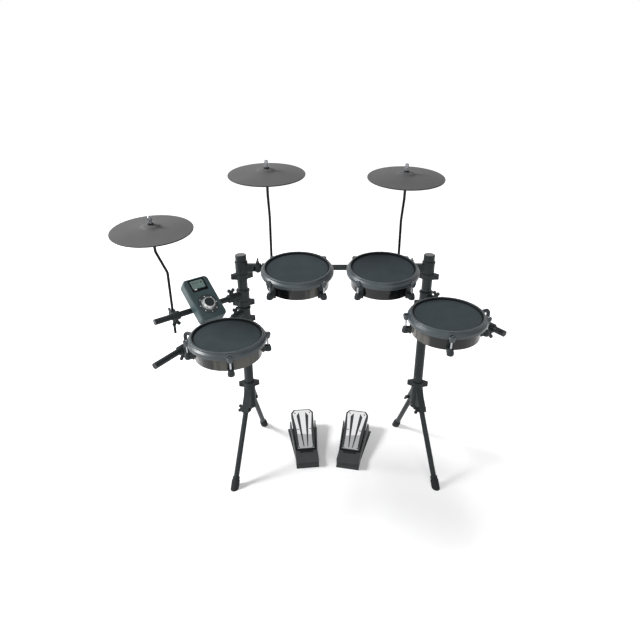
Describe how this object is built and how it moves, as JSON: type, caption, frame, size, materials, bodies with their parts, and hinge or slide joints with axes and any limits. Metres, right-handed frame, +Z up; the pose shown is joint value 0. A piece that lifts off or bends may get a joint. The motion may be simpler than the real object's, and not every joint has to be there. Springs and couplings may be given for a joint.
{
  "type": "electronic drum kit",
  "caption": "Electronic drum kit on a two-post folding rack with round rimmed pads, thin cymbal pads on bent rods, a tilting sound module with a dial, and separate hi-hat and kick pedals.",
  "frame": {"origin": "on the floor under the middle of the kit's bounding box", "axes": "+X to the player's right, +Y away from the player, +Z up"},
  "size_m": [1.22, 0.7276, 1.2094],
  "materials": {
    "rack_tube": "satin black powder coat",
    "clamp_nylon": "black glass-filled nylon",
    "shell": "dark gloss moulding",
    "hoop": "blue-grey rubber",
    "head": "fine-textured playing surface",
    "bright_steel": "bright plated",
    "sensor_plate": "plain plate with foam",
    "cymbal": "mid grey rubber",
    "module_case": "teal-grey moulded case",
    "display": "grey-green window",
    "circuit_board": "solder mask",
    "pedal_body": "black moulding",
    "bumper": "soft black rubber",
    "tread": "brushed plate"
  },
  "bodies": {
    "left_base": {"left_leg_base": "clamp_nylon", "pedal_bases": "pedal_body", "pedal_bumpers": "bumper"},
    "left_post": {"left_post": "rack_tube", "left_post_clamps": "clamp_nylon"},
    "right_post": {"right_post": "rack_tube", "right_post_clamps": "clamp_nylon"},
    "right_base": {"right_leg_base": "clamp_nylon"},
    "crossbar": {"crossbar": "rack_tube", "crossbar_clamps": "clamp_nylon"},
    "module": {"module_front_case": "module_case", "module_rear_case": "module_case", "module_display": "display", "module_circuit_board": "circuit_board"},
    "dial": {"module_dial": "bright_steel"},
    "button": {"module_button": "clamp_nylon"},
    "hi_hat_footboard": {"hi_hat_board": "pedal_body", "hi_hat_plate": "tread"},
    "kick_footboard": {"kick_board": "pedal_body", "kick_plate": "tread"},
    "module_arm": {"module_arm": "rack_tube", "module_arm_clamps": "clamp_nylon"},
    "snare_arm": {"snare_arm": "rack_tube", "snare_arm_clamps": "clamp_nylon"},
    "floor_tom_arm": {"floor_tom_arm": "rack_tube", "floor_tom_arm_clamps": "clamp_nylon"},
    "left_front_leg": {"left_front_leg": "rack_tube"},
    "left_rear_leg": {"left_rear_leg": "rack_tube"},
    "right_front_leg": {"right_front_leg": "rack_tube"},
    "right_rear_leg": {"right_rear_leg": "rack_tube"},
    "snare": {"snare_shell": "shell", "snare_hoop": "hoop", "snare_head": "head", "snare_lugs": "clamp_nylon", "snare_tension_rods": "bright_steel", "snare_trigger": "sensor_plate"},
    "tom_1": {"tom_1_shell": "shell", "tom_1_hoop": "hoop", "tom_1_head": "head", "tom_1_lugs": "clamp_nylon", "tom_1_tension_rods": "bright_steel", "tom_1_trigger": "sensor_plate"},
    "tom_2": {"tom_2_shell": "shell", "tom_2_hoop": "hoop", "tom_2_head": "head", "tom_2_lugs": "clamp_nylon", "tom_2_tension_rods": "bright_steel", "tom_2_trigger": "sensor_plate"},
    "floor_tom": {"floor_tom_shell": "shell", "floor_tom_hoop": "hoop", "floor_tom_head": "head", "floor_tom_lugs": "clamp_nylon", "floor_tom_tension_rods": "bright_steel", "floor_tom_trigger": "sensor_plate"},
    "left_cymbal_rod": {"left_cymbal_rod": "bright_steel"},
    "left_cymbal": {"left_cymbal": "cymbal"},
    "middle_cymbal_rod": {"middle_cymbal_rod": "bright_steel"},
    "middle_cymbal": {"middle_cymbal": "cymbal"},
    "right_cymbal_rod": {"right_cymbal_rod": "bright_steel"},
    "right_cymbal": {"right_cymbal": "cymbal"}
  },
  "joints": [
    {"name": "left_post_height", "type": "slide", "parent": "left_base", "child": "left_post", "axis": [0, 0, 1], "range_m": [0, 0.05]},
    {"name": "left_knuckle", "type": "hinge", "parent": "left_post", "child": "crossbar", "pos_m": [-0.191, 0.14, 0.836], "axis": [0, 0, 1], "range_deg": [-15, 15]},
    {"name": "right_knuckle", "type": "hinge", "parent": "crossbar", "child": "right_post", "pos_m": [0.353, 0.14, 0.836], "axis": [0, 0, 1], "range_deg": [-2, 15]},
    {"name": "right_base_height", "type": "slide", "parent": "right_post", "child": "right_base", "axis": [0, 0, -1], "range_m": [0, 0.05]},
    {"name": "left_front_leg_fold", "type": "hinge", "parent": "left_base", "child": "left_front_leg", "pos_m": [-0.26065, 0.09653, 0.262], "axis": [0.9659, -0.2588, 0], "range_deg": [0, 28]},
    {"name": "left_rear_leg_fold", "type": "hinge", "parent": "left_base", "child": "left_rear_leg", "pos_m": [-0.24352, 0.18466, 0.262], "axis": [-0.9925, 0.1219, 0], "range_deg": [0, 28]},
    {"name": "right_front_leg_fold", "type": "hinge", "parent": "right_base", "child": "right_front_leg", "pos_m": [0.42565, 0.09745, 0.262], "axis": [0.9455, 0.3256, 0], "range_deg": [0, 28]},
    {"name": "right_rear_leg_fold", "type": "hinge", "parent": "right_base", "child": "right_rear_leg", "pos_m": [0.40241, 0.18417, 0.262], "axis": [-0.9816, -0.1908, 0], "range_deg": [0, 28]},
    {"name": "module_arm_swing", "type": "hinge", "parent": "left_post", "child": "module_arm", "pos_m": [-0.249, 0.14, 0.732], "axis": [0, 0, 1], "range_deg": [-20, 10]},
    {"name": "snare_arm_swing", "type": "hinge", "parent": "left_post", "child": "snare_arm", "pos_m": [-0.249, 0.14, 0.664], "axis": [0, 0, 1], "range_deg": [-12, 20]},
    {"name": "floor_tom_arm_swing", "type": "hinge", "parent": "right_post", "child": "floor_tom_arm", "pos_m": [0.411, 0.14, 0.725], "axis": [0, 0, 1], "range_deg": [-2, 25]},
    {"name": "snare_tilt", "type": "hinge", "parent": "snare_arm", "child": "snare", "pos_m": [-0.35195, -0.17751, 0.7296], "axis": [-0.4955, -0.8683, -0.0227], "range_deg": [-8, 8]},
    {"name": "tom_1_tilt", "type": "hinge", "parent": "crossbar", "child": "tom_1", "pos_m": [-0.044, 0.09118, 0.88027], "axis": [-1, 0, 0], "range_deg": [-8, 8]},
    {"name": "tom_2_tilt", "type": "hinge", "parent": "crossbar", "child": "tom_2", "pos_m": [0.2295, 0.09118, 0.88027], "axis": [-1, 0, 0], "range_deg": [-8, 8]},
    {"name": "floor_tom_tilt", "type": "hinge", "parent": "floor_tom_arm", "child": "floor_tom", "pos_m": [0.50484, -0.15236, 0.79157], "axis": [-0.5505, 0.8337, 0.0437], "range_deg": [-8, 8]},
    {"name": "left_cymbal_height", "type": "slide", "parent": "module_arm", "child": "left_cymbal_rod", "axis": [0, 0, 1], "range_m": [-0.05, 0.05]},
    {"name": "left_cymbal_rock", "type": "hinge", "parent": "left_cymbal_rod", "child": "left_cymbal", "pos_m": [-0.4812, -0.06704, 1.04842], "axis": [1, 0, 0], "range_deg": [-5, 5], "stiffness_Nm_per_rad": 2},
    {"name": "middle_cymbal_height", "type": "slide", "parent": "crossbar", "child": "middle_cymbal_rod", "axis": [0, 0, 1], "range_m": [-0.05, 0.05]},
    {"name": "middle_cymbal_rock", "type": "hinge", "parent": "middle_cymbal_rod", "child": "middle_cymbal", "pos_m": [-0.143, 0.11055, 1.18142], "axis": [1, 0, 0], "range_deg": [-5, 5], "stiffness_Nm_per_rad": 2},
    {"name": "right_cymbal_height", "type": "slide", "parent": "crossbar", "child": "right_cymbal_rod", "axis": [0, 0, 1], "range_m": [-0.05, 0.05]},
    {"name": "right_cymbal_rock", "type": "hinge", "parent": "right_cymbal_rod", "child": "right_cymbal", "pos_m": [0.306, 0.11055, 1.17042], "axis": [1, 0, 0], "range_deg": [-5, 5], "stiffness_Nm_per_rad": 2},
    {"name": "module_tilt", "type": "hinge", "parent": "module_arm", "child": "module", "pos_m": [-0.38093, 0.02328, 0.732], "axis": [-0.749, -0.6626, 0], "range_deg": [-15, 15]},
    {"name": "dial_turn", "type": "hinge", "parent": "module", "child": "dial", "pos_m": [-0.34079, -0.0221, 0.76865], "axis": [0.4259, -0.4814, 0.766], "continuous": true},
    {"name": "button_press", "type": "slide", "parent": "dial", "child": "button", "axis": [-0.4259, 0.4814, -0.766], "range_m": [0, 0.001], "stiffness_N_per_m": 900, "springref_m": -0.0006},
    {"name": "hi_hat_pedal", "type": "hinge", "parent": "left_base", "child": "hi_hat_footboard", "pos_m": [-0.0275, 0.11658, 0.027], "axis": [0.993, 0.1184, 0], "range_deg": [-8, 0], "stiffness_Nm_per_rad": 8, "springref_deg": 14.32},
    {"name": "kick_pedal", "type": "hinge", "parent": "left_base", "child": "kick_footboard", "pos_m": [0.15137, 0.10971, 0.027], "axis": [0.9785, -0.2062, 0], "range_deg": [-8, 0], "stiffness_Nm_per_rad": 8, "springref_deg": 14.32}
  ],
  "couplings": [
    {"joint": "right_base_height", "follows": "left_post_height", "ratio": 1}
  ]
}
